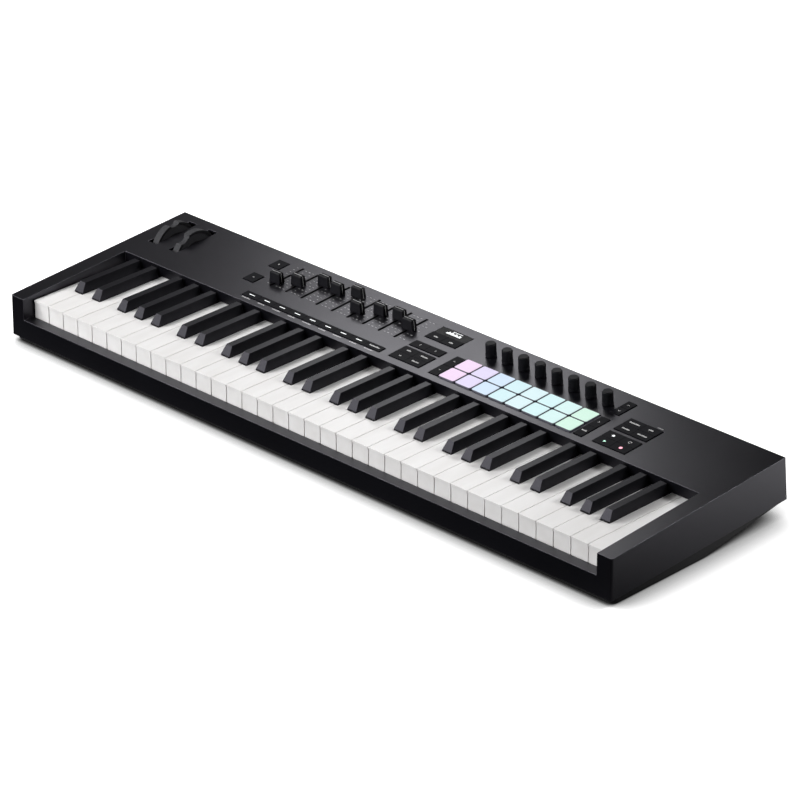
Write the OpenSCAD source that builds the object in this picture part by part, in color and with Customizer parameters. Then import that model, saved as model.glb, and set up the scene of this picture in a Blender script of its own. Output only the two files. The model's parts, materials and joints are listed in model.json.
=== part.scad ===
// A 61-key synthesizer keyboard: a wedge-shaped case with a full-size keybed,
// pitch and modulation wheels, nine faders, eight encoders, sixteen pads and
// blocks of panel buttons. X runs along the keys, Y from the player's side to
// the back, Z up. Heights are measured from the surface the feet stand on.

/* [Case] */
// Width of the case over both cheeks
case_w = 888.8; // [886:0.4:900]
// How far the case's front face stands before the line that depths are measured from
front_lead = 1.4; // [1.2:0.1:1.6]
// Depth of the foot of the rear wall
case_d = 268.8; // [268:0.4:272]
// Depth of the top of the leaning rear wall
case_top_d = 263.9; // [263:0.1:265]
// Height of the cheeks at the front
cheek_h = 55.0; // [54:0.5:56]
// Rise of the top surface towards the back, in degrees
slope = 3.375; // [3:0.125:3.5]
// Thickness of the case walls
wall = 2.6; // [2.4:0.1:2.8]
// Radius of the upright corners at the front
front_corner_r = 2.4; // [2:0.1:3]
// Height of the front rail, just under the fronts of the keys
rail_h = 30.1; // [29.5:0.1:30.3]
// Height of the side walls' lower edge at the front
edge_front_h = 7.4; // [7:0.1:8]
// Height of the lower edge at the back
edge_rear_h = 20.6; // [20:0.1:21]

/* [Base] */
// How far the base stands in from the case's sides
base_inset = 1.5; // [1:0.1:2]
// How far the base stands back from the case's front
base_setback = 3; // [2.8:0.1:4]
// Radius of the base's upright corners at the front
base_corner_r = 10; // [8:0.5:11]
// Thickness of the rubber feet, which is the base's ground clearance
foot_h = 2; // [1.5:0.1:2.2]
// Depth at which the flat bottom turns up into a ramp
ramp_start = 144; // [140:1:146]

/* [Keys] */
// Distance from one white key to the next
white_pitch = 23.5; // [23.3:0.1:23.5]
// Height of the white keys' tops
white_top_h = 50; // [49.8:0.1:50.2]
// Depth of the white keys' front edges
white_front = 13.4; // [13.2:0.1:14]
// Gap between two white keys
white_gap = 0.8; // [0.6:0.1:1]
// Height of a black key above the white keys
black_rise = 11.4; // [10:0.2:12]
// Width of a black key at its base and at its top
black_base_w = 12.8; // [12.4:0.2:13]
black_top_w = 8.6; // [8:0.2:9]
// Depth of the black keys' front edges
black_front = 61; // [60:0.5:64]
// Depth of the wall behind the keys
well_d = 152.5; // [152.3:0.1:153]

/* [Key action] */
// Depth and height of the rod that the keys turn on
pivot_y = 178; // [177:0.5:179]
pivot_z = 42; // [41.5:0.5:42.5]
// Radius of the pivot rod
rod_r = 2; // [1.8:0.1:2.2]

/* [Controls] */
// Distance between neighbouring faders, encoders and pads
control_pitch = 23.8; // [23.7:0.05:23.9]
// Length of a fader slot
fader_slot_l = 53.5; // [53:0.5:56]
// Width of a fader slot
fader_slot_w = 3.2; // [2.6:0.2:3.6]
// Radius of an encoder's cap and its height above the panel
encoder_r = 6; // [5.8:0.1:6.2]
encoder_h = 16.5; // [15:0.5:18]
// Height of a pad above the panel
pad_rise = 1.8; // [1.4:0.2:3]
// Radius of a wheel
wheel_r = 32; // [31:0.5:32]
// Width of a wheel
wheel_w = 8.8; // [8.4:0.1:9.2]

/* [Hidden] */
$fn = 64;
OCTAVES = 5;
WHITES = 7 * OCTAVES + 1;
MIDDLE = 2;
FADERS = 9;
ENCODERS = 8;
PAD_COLUMNS = 8;
FACE_EPS = 1;            // how far a cutter runs past the face it cuts
SHAFT_PLAY = 0.05;       // radial clearance of every running fit

white_names = ["c", "d", "e", "f", "g", "a", "b"];
black_names = ["c_sharp", "d_sharp", "f_sharp", "g_sharp", "a_sharp"];

// ---------- derived places ----------
edge_slope = (edge_rear_h - edge_front_h) / case_d;
well_half_w = WHITES / 2 * white_pitch + 1.3;
rail_d = white_front - 1;
inner_half_w = case_w / 2 - wall;
base_half_w = case_w / 2 - base_inset;
base_rear = case_d - wall - 0.3;
base_front = base_setback - front_lead;
inner_front = wall - front_lead;
base_t = 2.5;
ramp_slope = (edge_rear_h - 0.5 - foot_h) / (base_rear - ramp_start);
keys_left = -WHITES / 2 * white_pitch;

black_top_h = white_top_h + black_rise;
black_rear = 149.8;
tail_rear = 160;
arm_w = 9;
black_arm_w = 8;
arm_low = 38;
arm_high = 47.8;
hub_r = 5;

fader_x0 = -142 - 4 * control_pitch;
fader_y = 223.6;
encoder_x0 = 147.5 - 3.5 * control_pitch;
encoder_y = 231.9;
encoder_shaft_r = 3;
encoder_hole_r = 3.9;
axle_r = 3;
pads_x0 = 146.3 - 4 * control_pitch;
pads_y0 = 161.6;
pad_row_pitch = 24.2;
pad_drop = 4;            // how far a pad reaches below the panel's top surface
pad_gap = 1.8;
pad_corner_r = 2.2;
pad_w = control_pitch - pad_gap;
pad_d = pad_row_pitch - pad_gap;
wheel_xs = [-416.2, -383.4];
wheel_y = 218.4;
wheel_drop = 19.5;
wheel_slot_w = 12.8;
wheel_slot_l = 64;
board_drop = 12;
board_t = 1.6;
cap_lifts = [0.4, 13.2];
// Where along its slot each fader stands, from 0 at the front to 1 at the back
fader_places = [0.175, 0.38, 0.745, 0.66, 0.825, 0.30, 0.55, 0.655, 0.45];

function panel_z(y) = cheek_h + y * tan(slope);
function edge_z(y) = edge_front_h + y * edge_slope;
function ramp_z(y) = foot_h + max(0, y - ramp_start) * ramp_slope;

// ---------- helpers ----------
// Moves a shape from "depth measured from the datum line" to the part's origin
module seat() { translate([0, (front_lead - case_d) / 2, 0]) children(); }

// Extrudes a (depth, height) outline along X, centred on x
module along_x(width, x = 0) {
    translate([x - width / 2, 0, 0]) rotate([90, 0, 90]) linear_extrude(width) children();
}

// Extrudes a (width, height) outline along Y from y0 to y1
module along_y(y0, y1) { translate([0, y1, 0]) rotate([90, 0, 0]) linear_extrude(y1 - y0) children(); }

// Puts a shape on the sloping panel, with Z square to it
module on_panel(x, y, lift = 0) {
    translate([x, y, panel_z(y)]) rotate([slope, 0, 0]) translate([0, 0, lift]) children();
}

// A box between two corners
module box(low, high) { translate(low) cube(high - low); }

// A rectangle with round corners, centred
module round_rect(w, d, r) {
    square([w - 2 * r, d], center = true);
    square([w, d - 2 * r], center = true);
    for (x = [-1, 1], y = [-1, 1])
        translate([x * (w / 2 - r), y * (d / 2 - r)]) circle(r, $fn = 32);
}

// A plate with round corners on the panel, between two lifts
module panel_plate(x, y, w, d, low, high, r = 1) {
    on_panel(x, y, low) linear_extrude(high - low) round_rect(w, d, r);
}

// ---------- places of the panel's buttons ----------
// Each block is [left, right, front, back, columns, rows]
fader_block = [-246.5, -34.8, 161.8, 172.6, FADERS, 1];
octave_up = [-273.2, -256.6, 229.2, 247.2, 1, 1];
octave_down = [-273.2, -256.6, 189.4, 207.8, 1, 1];
screen_block = [-22.2, 22.8, 219.2, 233.4, 2, 1];
page_block = [-22.2, 22.8, 194.6, 207.4, 2, 1];
mode_block = [-22.2, 22.8, 163, 190.6, 2, 2];
scene_block = [37.2, 50.0, 162.4, 208, 1, 2];
launch_block = [244.0, 256, 162.4, 208, 1, 2];
bank_block = [244.0, 256, 220.6, 250, 1, 2];
edit_block = [269.9, 314.6, 196.4, 224.4, 2, 2];
transport_block = [269.9, 314.6, 163, 191.4, 2, 2];
button_rise = 0.9;
button_drop = 3;
button_gap = 0.5;
window_gap = 0.4;
all_blocks = [fader_block, octave_up, octave_down, screen_block, page_block, mode_block,
              scene_block, launch_block, bank_block, edit_block, transport_block];
screen = [-22.2, 22.8, 234.2, 249.2];

function cell_w(b) = (b[1] - b[0]) / b[4];
function cell_d(b) = (b[3] - b[2]) / b[5];
function cell_x(b, c) = b[0] + (c + 0.5) * cell_w(b);
function cell_y(b, r) = b[2] + (r + 0.5) * cell_d(b);

// A rectangular window through the panel
module window(b, gap = window_gap) {
    on_panel((b[0] + b[1]) / 2, (b[2] + b[3]) / 2, -2 * wall)
        linear_extrude(4 * wall) square([b[1] - b[0] + 2 * gap, b[3] - b[2] + 2 * gap], center = true);
}

// The caps of one block, each with a plunger that reaches its switch
module button_caps(b) {
    for (c = [0:b[4] - 1], r = [0:b[5] - 1]) {
        x = cell_x(b, c);
        y = cell_y(b, r);
        panel_plate(x, y, cell_w(b) - button_gap, cell_d(b) - button_gap, -button_drop, button_rise, 0.6);
        panel_plate(x, y, 4, 4, -8.6, -button_drop, 0.6);
    }
}

// ---------- case ----------
// The hollow of the case, seen from the side
module case_hollow() {
    polygon([[inner_front, -FACE_EPS], [inner_front, panel_z(inner_front) - wall],
             [case_top_d - wall, panel_z(case_top_d - wall) - wall], [case_d - wall, -FACE_EPS]]);
}

// A shape seen from above with its front corners rounded; it runs on past the rear
module front_round(half_w, front, r) {
    translate([-half_w, front + r]) square([2 * half_w, case_d]);
    translate([-half_w + r, front]) square([2 * (half_w - r), 2 * r]);
    for (side = [-1, 1]) translate([side * (half_w - r), front + r]) circle(r = r);
}

// The closed wedge: its plan cut by the sloping top, the leaning rear wall and the lower edge
module case_blank() {
    big = 2 * case_w;
    rear_lean = atan((case_d - case_top_d) / (panel_z(case_top_d) - edge_rear_h));
    difference() {
        linear_extrude(2 * cheek_h) front_round(case_w / 2, -front_lead, front_corner_r);
        translate([0, 0, cheek_h]) rotate([slope, 0, 0])
            translate([-big / 2, -case_d, 0]) cube([big, big, case_d]);
        translate([0, 0, edge_front_h]) rotate([atan(edge_slope), 0, 0])
            translate([-big / 2, -case_d, -case_d]) cube([big, big, case_d]);
        translate([0, case_d, edge_rear_h]) rotate([rear_lean, 0, 0])
            translate([-big / 2, 0, -case_d]) cube([big, case_d, big]);
    }
}

// The sockets' holes in the rear wall: [x, height, radius], and the USB slot's place
jack_x = -305;
midi_x = -265;
usb_x = -340;
socket_h = 45;
socket_face = 261.6;
jack_hole_r = 6.2;
midi_hole_r = 8;
post_r = 4;
post_places = [[434, 30], [434, 140], [434, 250], [154, 256]];

// The screw posts hang from the panel and stop just above the tray
module case_posts() {
    for (side = [0, 1], p = post_places) mirror([side, 0, 0]) {
        low = ramp_z(p[1] + post_r) + base_t + 0.1;
        translate([p[0], p[1], low]) cylinder(r = post_r, h = panel_z(p[1]) - low - wall / 2);
    }
}

module case_shell() {
    difference() {
        case_blank();
        along_x(2 * inner_half_w) case_hollow();
        box([-well_half_w, -front_lead - FACE_EPS, rail_h], [well_half_w, well_d, 2 * cheek_h]);
    }
}

module top_case() color([0.23, 0.23, 0.24]) seat() {
    difference() {
        union() {
            case_shell();
            // The front rail's top, the wall behind the keys and the inner walls of the cheeks
            box([-inner_half_w - 1, inner_front - 1, rail_h - wall], [inner_half_w + 1, rail_d, rail_h]);
            along_x(2 * inner_half_w + 2) polygon([[well_d, 51.4], [well_d, panel_z(well_d) - 1],
                                               [well_d + wall, panel_z(well_d) - 1], [well_d + wall, 51.4]]);
            for (side = [-1, 1])
                along_x(wall, side * (well_half_w + wall / 2))
                    polygon([[inner_front - 1, 12], [inner_front - 1, panel_z(inner_front) - 1.3],
                             [well_d + wall / 2, panel_z(well_d) - 1.3], [well_d + wall / 2, 24],
                             [ramp_start, 14]]);
            case_posts();
        }
        for (b = all_blocks) if (b != screen_block) window(b);
        // The screen and its two buttons share one window
        window([screen[0], screen[1], screen_block[2], screen[3]]);
        window([pads_x0, pads_x0 + PAD_COLUMNS * control_pitch, pads_y0, pads_y0 + 2 * pad_row_pitch], 0);
        for (i = [0:FADERS - 1])
            on_panel(fader_x0 + i * control_pitch, fader_y, -2 * wall)
                linear_extrude(4 * wall) round_rect(fader_slot_w, fader_slot_l, 1.5);
        for (i = [0:ENCODERS - 1])
            on_panel(encoder_x0 + i * control_pitch, encoder_y, -2 * wall)
                cylinder(r = encoder_hole_r, h = 4 * wall);
        for (x = wheel_xs)
            on_panel(x, wheel_y, -2 * wall)
                linear_extrude(4 * wall) square([wheel_slot_w, wheel_slot_l], center = true);
        // Socket holes, the USB slot and the security slot in the rear wall
        translate([jack_x, case_d - 15, socket_h]) rotate([-90, 0, 0]) cylinder(r = jack_hole_r, h = 20);
        translate([midi_x, case_d - 15, socket_h]) rotate([-90, 0, 0]) cylinder(r = midi_hole_r, h = 20);
        translate([usb_x, case_d - 15, socket_h]) rotate([-90, 0, 0])
            linear_extrude(20) round_rect(9.8, 4.2, 2.05);
        translate([360, case_d - 15, socket_h]) rotate([-90, 0, 0]) linear_extrude(20) round_rect(7, 3, 0.8);
        for (side = [0, 1], p = post_places) mirror([side, 0, 0])
            translate([p[0], p[1], ramp_z(p[1])]) cylinder(r = 1.6, h = 16);
    }
}

// ---------- base ----------
feet = [[400, 24, 30, 12], [0, 24, 30, 12], [380, 236, 36, 12]];

module base_outline(inset) {
    polygon([[base_front + inset, edge_z(0) + (inset > 0 ? FACE_EPS : 0)],
             [base_front + inset, foot_h + 2.5 + inset * 0.4],
             [base_front + 2.5 + inset * 0.4, foot_h + inset],
             [ramp_start, foot_h + inset], [base_rear - inset, ramp_z(base_rear) + inset],
             [base_rear - inset, edge_z(base_rear) + (inset > 0 ? FACE_EPS : 0)]]);
}

// A low wall that stands up inside the case's lower edge
lip_t = 1.6;
lip_front = inner_front + 0.4;
lip_rear = base_rear - 2;
module base_lip() {
    half_w = inner_half_w - 0.3;
    difference() {
        intersection() {
            along_x(case_w) polygon([
                [lip_front - FACE_EPS, edge_z(0) - 1.5], [lip_front - FACE_EPS, edge_z(0) + 3],
                [lip_rear, edge_z(lip_rear) + 2.4], [lip_rear, edge_z(lip_rear) - 1.5]]);
            linear_extrude(cheek_h) front_round(half_w, lip_front, base_corner_r);
        }
        intersection() {
            along_x(case_w) polygon([
                [lip_front - FACE_EPS, -FACE_EPS], [lip_front - FACE_EPS, edge_z(0) + 8],
                [lip_rear - lip_t, edge_z(lip_rear) + 8], [lip_rear - lip_t, -FACE_EPS]]);
            translate([0, 0, -2 * FACE_EPS]) linear_extrude(cheek_h)
                front_round(half_w - lip_t, lip_front + lip_t, base_corner_r - lip_t);
        }
    }
}

module base_tray() color([0.09, 0.09, 0.1]) seat() {
    difference() {
        union() {
            difference() {
                union() {
                    intersection() {
                        along_x(case_w) base_outline(0);
                        linear_extrude(cheek_h) front_round(base_half_w, base_front, base_corner_r);
                    }
                    for (side = [-1, 1]) translate([side * feet[2][0], feet[2][1], foot_h + 7])
                        cube([feet[2][2] + 6, feet[2][3] + 6, 14], center = true);
                }
                intersection() {
                    along_x(2 * (base_half_w - base_t)) base_outline(base_t);
                    linear_extrude(cheek_h)
                        front_round(base_half_w - base_t, base_front + base_t, base_corner_r - base_t);
                }
            }
            base_lip();
            // Ribs across the front of the tray
            for (x = [-300:150:300])
                box([x - 1, base_front + 1, foot_h + 1], [x + 1, 19, foot_h + base_t + 2]);
        }
        // Screw holes with counterbores from below
        for (side = [0, 1], p = post_places) mirror([side, 0, 0])
            translate([p[0], p[1], ramp_z(p[1]) - 8]) {
                cylinder(r = 1.7, h = 30);
                cylinder(r = 3.4, h = 8.7);
            }
        // Vent slots under the electronics
        for (i = [-6:6]) box([i * 14 - 4, 205, 0], [i * 14 + 4, 207.4, 30]);
    }
}

module rubber_feet() color([0.05, 0.05, 0.05]) seat()
    for (f = feet, side = (f[0] == 0) ? [1] : [-1, 1])
        translate([side * f[0], f[1], 0]) linear_extrude(foot_h) round_rect(f[2], f[3], 3);

module case_screws() color([0.2, 0.2, 0.21]) seat()
    for (side = [0, 1], p = post_places) mirror([side, 0, 0])
        translate([p[0], p[1], ramp_z(p[1]) + 0.7]) difference() {
            union() {
                mirror([0, 0, 1]) cylinder(r1 = 3, r2 = 2.4, h = 1.5);
                cylinder(r = 1.5, h = 13);
            }
            translate([0, 0, -2]) for (a = [0, 90]) rotate(a) cube([3.4, 0.7, 2.4], center = true);
        }

// ---------- keybed ----------
function white_left(i) = keys_left + i * white_pitch;
function octave_left(o) = keys_left + 7 * o * white_pitch;
// The black keys sit at even steps within each group of three and four white keys
function black_x(o, b) = octave_left(o) + (b < 2
    ? (2 * b + 1.5) * 3 * white_pitch / 5
    : 3 * white_pitch + (2 * (b - 2) + 1.5) * 4 * white_pitch / 7);
// Half a black key with its side gap
black_half = black_base_w / 2 + 0.6;
// Left and right edge of a white key's tail between its neighbours
function tail_left(o, w) =
    w == 0 || w == 3 ? octave_left(o) + w * white_pitch + white_gap / 2
    : black_x(o, w < 3 ? w - 1 : w - 2) + black_half;
function tail_right(o, w) =
    w == 2 || w == 6 ? octave_left(o) + (w + 1) * white_pitch - white_gap / 2
    : black_x(o, w < 3 ? w : w - 1) - black_half;

front_len = black_front - 1;
skirt_t = 1.6;
plate_t = 2.2;
lip_back = 0.8;          // how far a white key's front skirt stands under its top plate's edge
side_back = 0.2;
front_skirt_low = 28.8;
side_skirt_low = 36;
tail_low = 42;

// A lever from under the key to the hub on the pivot rod
module key_arm(x, w, front) {
    difference() {
        union() {
            box([x - w / 2, front, arm_low], [x + w / 2, pivot_y, arm_high]);
            translate([x - w / 2, pivot_y, pivot_z]) rotate([0, 90, 0]) cylinder(r = hub_r, h = w);
        }
        translate([x - w, pivot_y, pivot_z]) rotate([0, 90, 0]) cylinder(r = rod_r + SHAFT_PLAY, h = 2 * w);
        // Lightening pockets under the arm, with a closed end over the stop
        box([x - w / 2 + skirt_t, 112, arm_low - FACE_EPS], [x + w / 2 - skirt_t, 122, arm_high - plate_t]);
        box([x - w / 2 + skirt_t, 146, arm_low - FACE_EPS], [x + w / 2 - skirt_t, 168, arm_high - plate_t]);
    }
}

// A white key: hollow front, tail between the black keys, and its lever
module white_key(left, right, tail_l, tail_r) {
    tail_mid = (tail_l + tail_r) / 2;
    difference() {
        union() {
            box([left, white_front, white_top_h - plate_t], [right, front_len, white_top_h]);
            box([left + side_back, white_front + lip_back, side_skirt_low],
                [right - side_back, front_len, white_top_h - plate_t]);
            box([left + side_back, white_front + lip_back, front_skirt_low],
                [right - side_back, white_front + lip_back + plate_t, side_skirt_low]);
            box([tail_l, front_len, white_top_h - plate_t], [tail_r, tail_rear, white_top_h]);
            box([tail_l, front_len, tail_low], [tail_r, tail_rear - 10, white_top_h - plate_t]);
        }
        box([left + side_back + skirt_t, white_front + lip_back + plate_t, 20],
            [right - side_back - skirt_t, front_len - skirt_t, white_top_h - plate_t]);
        box([tail_l + skirt_t, front_len + skirt_t, 20],
            [tail_r - skirt_t, tail_rear - 12, white_top_h - plate_t]);
    }
    key_arm(tail_mid, arm_w, front_len - 0.1);
}

module octave_white(o, w) {
    white_key(white_left(7 * o + w) + white_gap / 2, white_left(7 * o + w + 1) - white_gap / 2,
              tail_left(o, w), tail_right(o, w));
}

// The last key of the keyboard has no black key beside it
module last_white() {
    left = white_left(WHITES - 1) + white_gap / 2;
    right = white_left(WHITES) - white_gap / 2;
    white_key(left, right, left, left + 14);
    box([left + 12, front_len - 1, white_top_h - plate_t], [right, tail_rear, white_top_h]);
}

// A black key: tapered cap with a sloping front on a straight base, and its lever
module black_key(x) {
    base_z = white_top_h + 1.5;
    intersection() {
        along_x(black_base_w, x) polygon([
            [black_front, base_z], [black_front + 6.5, black_top_h],
            [black_rear, black_top_h], [black_rear, base_z]]);
        along_y(black_front - FACE_EPS, black_rear + FACE_EPS) polygon([
            [x - black_base_w / 2, base_z], [x + black_base_w / 2, base_z],
            [x + black_top_w / 2, black_top_h], [x - black_top_w / 2, black_top_h]]);
    }
    box([x - black_base_w / 2 + 0.1, black_front - 0.2, 44.5],
        [x + black_base_w / 2 - 0.1, black_rear, base_z]);
    key_arm(x, black_arm_w, 72);
}

module octave_black(o, b) { black_key(black_x(o, b)); }

white_color = [0.93, 0.93, 0.92];
black_color = [0.08, 0.08, 0.09];

module white_keys_low() color(white_color) seat()
    for (o = [0:MIDDLE - 1], w = [0:6]) octave_white(o, w);
module black_keys_low() color(black_color) seat()
    for (o = [0:MIDDLE - 1], b = [0:4]) octave_black(o, b);
module white_keys_high() color(white_color) seat() {
    for (o = [MIDDLE + 1:OCTAVES - 1], w = [0:6]) octave_white(o, w);
    last_white();
}
module black_keys_high() color(black_color) seat()
    for (o = [MIDDLE + 1:OCTAVES - 1], b = [0:4]) octave_black(o, b);
module middle_white(w) color(white_color) seat() octave_white(MIDDLE, w);
module middle_black(b) color(black_color) seat() octave_black(MIDDLE, b);

// Where the comb plates stand: at both ends and between the arms of E-F and B-C
comb_xs = concat([keys_left - 1], [for (o = [0:OCTAVES - 1], w = [3, 7]) octave_left(o) + w * white_pitch],
                 [keys_left + WHITES * white_pitch + 1]);
stop_h = 31.4;
felt_t = 2;
bed_low = 5;
bed_high = 8;
bed_rear = 144;
shelf_low = 14;
shelf_high = 16;
stop_front = 95.5;
stop_rear = 107.5;
contact_z = 30;
guide_front = 24;
guide_rear = 29;
guide_h = 36.5;
rib_t = 1.5;

module keybed_frame() color([0.6, 0.61, 0.63]) seat() {
    half = WHITES / 2 * white_pitch;
    difference() {
        union() {
            box([-half, 20, bed_low], [half, bed_rear, bed_high]);
            box([-half, bed_rear - 3, bed_low], [half, bed_rear, shelf_high]);
            box([-half, bed_rear - 3, shelf_low], [half, 192, shelf_high]);
            // Stop rail and the two walls that carry the contact board
            for (y = [stop_front, stop_rear - rib_t]) box([-half, y, bed_high], [half, y + rib_t, stop_h]);
            box([-half, stop_front, stop_h - rib_t], [half, stop_rear, stop_h]);
            box([-half, 118, bed_high], [half, 118 + rib_t, contact_z]);
            box([-half, 148.5, shelf_high], [half, 148.5 + rib_t, contact_z]);
            // A guide post inside the front of each white key
            for (i = [0:WHITES - 1])
                box([white_left(i + 0.5) - 3, guide_front, bed_high],
                    [white_left(i + 0.5) + 3, guide_rear, guide_h]);
            for (x = comb_xs) {
                box([x - 1.2, 168, shelf_low], [x + 1.2, 188, pivot_z + 5]);
            }
        }
        translate([-half - 10, pivot_y, pivot_z]) rotate([0, 90, 0])
            cylinder(r = rod_r + 0.02, h = 2 * half + 20);
        // Weight-saving windows in the base plate
        for (o = [0:OCTAVES - 1], side = [0, 1])
            box([octave_left(o) + 8 + side * 80, 40, 0], [octave_left(o) + 72 + side * 80, 88, 12]);
    }
}

module key_pivot_rod() color([0.75, 0.75, 0.77]) seat()
    translate([-WHITES / 2 * white_pitch - 2.6, pivot_y, pivot_z]) rotate([0, 90, 0])
        cylinder(r = rod_r, h = WHITES * white_pitch + 5.2);

module key_felt() color([0.55, 0.1, 0.12]) seat()
    box([-WHITES / 2 * white_pitch, stop_front + 0.5, stop_h],
        [WHITES / 2 * white_pitch, stop_rear - 0.5, stop_h + felt_t]);

module contact_board() color([0.1, 0.35, 0.18]) seat()
    box([-WHITES / 2 * white_pitch, 117, contact_z], [WHITES / 2 * white_pitch, 151, contact_z + board_t]);

module contact_rubber() color([0.35, 0.36, 0.38]) seat()
    for (o = [0:OCTAVES - 1]) {
        top = contact_z + board_t + 1;
        box([octave_left(o) + 1, 128, contact_z + board_t], [octave_left(o + 1) - 1, 142, top]);
        for (i = [0:11]) translate([octave_left(o) + (i + 0.5) * 7 * white_pitch / 12, 135, top])
            cylinder(r1 = 4.6, r2 = 3, h = 2);
    }

// ---------- electronics ----------
module main_board() color([0.1, 0.35, 0.18]) seat() {
    difference() {
        on_panel(20, 210, -board_drop - board_t) linear_extrude(board_t) round_rect(620, 100, 2);
        for (x = [-1, 1] * post_places[3][0])
            translate([x, post_places[3][1], 0]) cylinder(r = post_r + 1, h = 90);
    }
}

module tact_switches() color([0.13, 0.13, 0.14]) seat()
    for (b = all_blocks, c = [0:b[4] - 1], r = [0:b[5] - 1])
        panel_plate(cell_x(b, c), cell_y(b, r), 6, 6, -board_drop, -9.6, 0.5);

module pad_sensor_board() color([0.1, 0.35, 0.18]) seat()
    panel_plate(pads_x0 + PAD_COLUMNS * control_pitch / 2, pads_y0 + pad_row_pitch,
                PAD_COLUMNS * control_pitch - 2.4, 2 * pad_row_pitch - 2, -7, -7 + board_t, 1);

module fader_tracks() color([0.62, 0.63, 0.65]) seat()
    for (i = [0:FADERS - 1]) difference() {
        panel_plate(fader_x0 + i * control_pitch, fader_y, 9, 68, -board_drop, -4.6, 0.5);
        panel_plate(fader_x0 + i * control_pitch, fader_y, 3, fader_slot_l + 4, -10.6, 0, 0.5);
    }

module encoder_bodies() color([0.62, 0.63, 0.65]) seat()
    for (i = [0:ENCODERS - 1]) {
        x = encoder_x0 + i * control_pitch;
        panel_plate(x, encoder_y, 12, 12.4, -board_drop, -5.4, 0.5);
        on_panel(x, encoder_y, -5.4) cylinder(r = 3.5, h = 5.2);
        on_panel(x, encoder_y, -0.2) cylinder(r = encoder_shaft_r, h = 12);
    }

module display_module() color([0.02, 0.02, 0.03]) seat() {
    x = (screen[0] + screen[1]) / 2;
    y = (screen[2] + screen[3]) / 2;
    panel_plate(x, y, screen[1] - screen[0], screen[3] - screen[2], -2, 0.1, 0.5);
    panel_plate(x, y, 40, 14, -board_drop, -2, 0.5);
}

// ---------- sockets ----------
module io_board_sockets() color([0.1, 0.35, 0.18]) seat() {
    box([-352, 236, 33.2], [-246, 262.6, 33.2 + board_t]);
    for (x = [-348, -250]) translate([x, 242, ramp_z(242) + base_t + 0.5])
        cylinder(r = 2.5, h = 33.2 - ramp_z(242) - base_t - 0.5);
    // Five-hole socket: a block, a ring and a disc with its contact holes
    box([midi_x - 10, 250, 34.8], [midi_x + 10, socket_face, 55]);
    translate([midi_x, socket_face, socket_h]) rotate([-90, 0, 0]) difference() {
        cylinder(r = 7.7, h = 4.4);
        translate([0, 0, -FACE_EPS]) cylinder(r = 6.9, h = 6);
    }
    translate([midi_x, socket_face, socket_h]) rotate([-90, 0, 0]) difference() {
        cylinder(r = 5.4, h = 2.4);
        for (a = [-90:45:90]) rotate(a) translate([0, -3.75, 0.4]) cylinder(r = 0.75, h = 4);
    }
    // USB socket: a metal shell round a tongue
    translate([usb_x, 257, socket_h]) rotate([-90, 0, 0]) linear_extrude(8.6) difference() {
        round_rect(9.2, 3.6, 1.75);
        round_rect(8.4, 2.8, 1.35);
    }
    box([usb_x - 4.7, 254, 34.8], [usb_x + 4.7, 257, 47]);
    box([usb_x - 3.3, 257, socket_h - 0.35], [usb_x + 3.3, 263, socket_h + 0.35]);
}

jack_bore_r = 3.3;
module sustain_jack() color([0.16, 0.16, 0.17]) seat() difference() {
    union() {
        box([jack_x - 7.5, 242, 34.8], [jack_x + 7.5, socket_face, 52.5]);
        translate([jack_x, socket_face, socket_h]) rotate([-90, 0, 0])
            cylinder(r = 5.9, h = case_d - socket_face);
        translate([jack_x, 267.4, socket_h]) rotate([-90, 0, 0]) cylinder(r = 8, h = 1.4);
    }
    translate([jack_x, 246, socket_h]) rotate([-90, 0, 0]) cylinder(r = jack_bore_r, h = 30);
}

// ---------- wheels ----------
// A wheel's blank is most of a disc, with its gap turned away from the dimple
module wheel(x, dimple) color([0.16, 0.16, 0.17]) seat()
    on_panel(x, wheel_y, -wheel_drop) rotate([-dimple, 0, 0]) difference() {
        rotate([0, 90, 0]) cylinder(r = wheel_r, h = wheel_w, center = true, $fn = 128);
        rotate([0, 90, 0]) cylinder(r = axle_r + SHAFT_PLAY, h = 40, center = true);
        // Side recesses leave a raised rim round the web
        for (side = [-1, 1]) rotate([0, 90, 0]) difference() {
            translate([0, 0, side * wheel_w / 2]) cylinder(r = wheel_r - 3, h = 2.4, center = true);
            translate([0, 0, side * wheel_w / 2]) cylinder(r = 6, h = 6, center = true);
        }
        // The finger dimple at the top, and the open sector at the bottom
        translate([0, 0, wheel_r + 5]) rotate([0, 90, 0]) cylinder(r = 9.2, h = 40, center = true);
        along_x(40) polygon([[0, -8], [60, -8 - 60 * tan(20)], [60, -60],
                             [-60, -60], [-60, -8 - 60 * tan(20)]]);
    }

module pitch_wheel() wheel(wheel_xs[0], 0);
module mod_wheel() wheel(wheel_xs[1], -28);

module wheel_bracket() color([0.3, 0.3, 0.31]) seat() {
    cz = panel_z(wheel_y) - wheel_drop * cos(slope);
    cy = wheel_y + wheel_drop * sin(slope);
    for (x = [-426, -399.5, -371]) box([x - 1.2, 192, 18.6], [x + 1.2, 236, 56]);
    box([-427.2, 223, 18.6], [-369.8, 231, 21]);
    box([-427.2, 192, 18.6], [-369.8, 200, 21]);
    translate([-427, cy, cz]) rotate([0, 90, 0]) cylinder(r = axle_r, h = 57.2);
}

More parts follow.
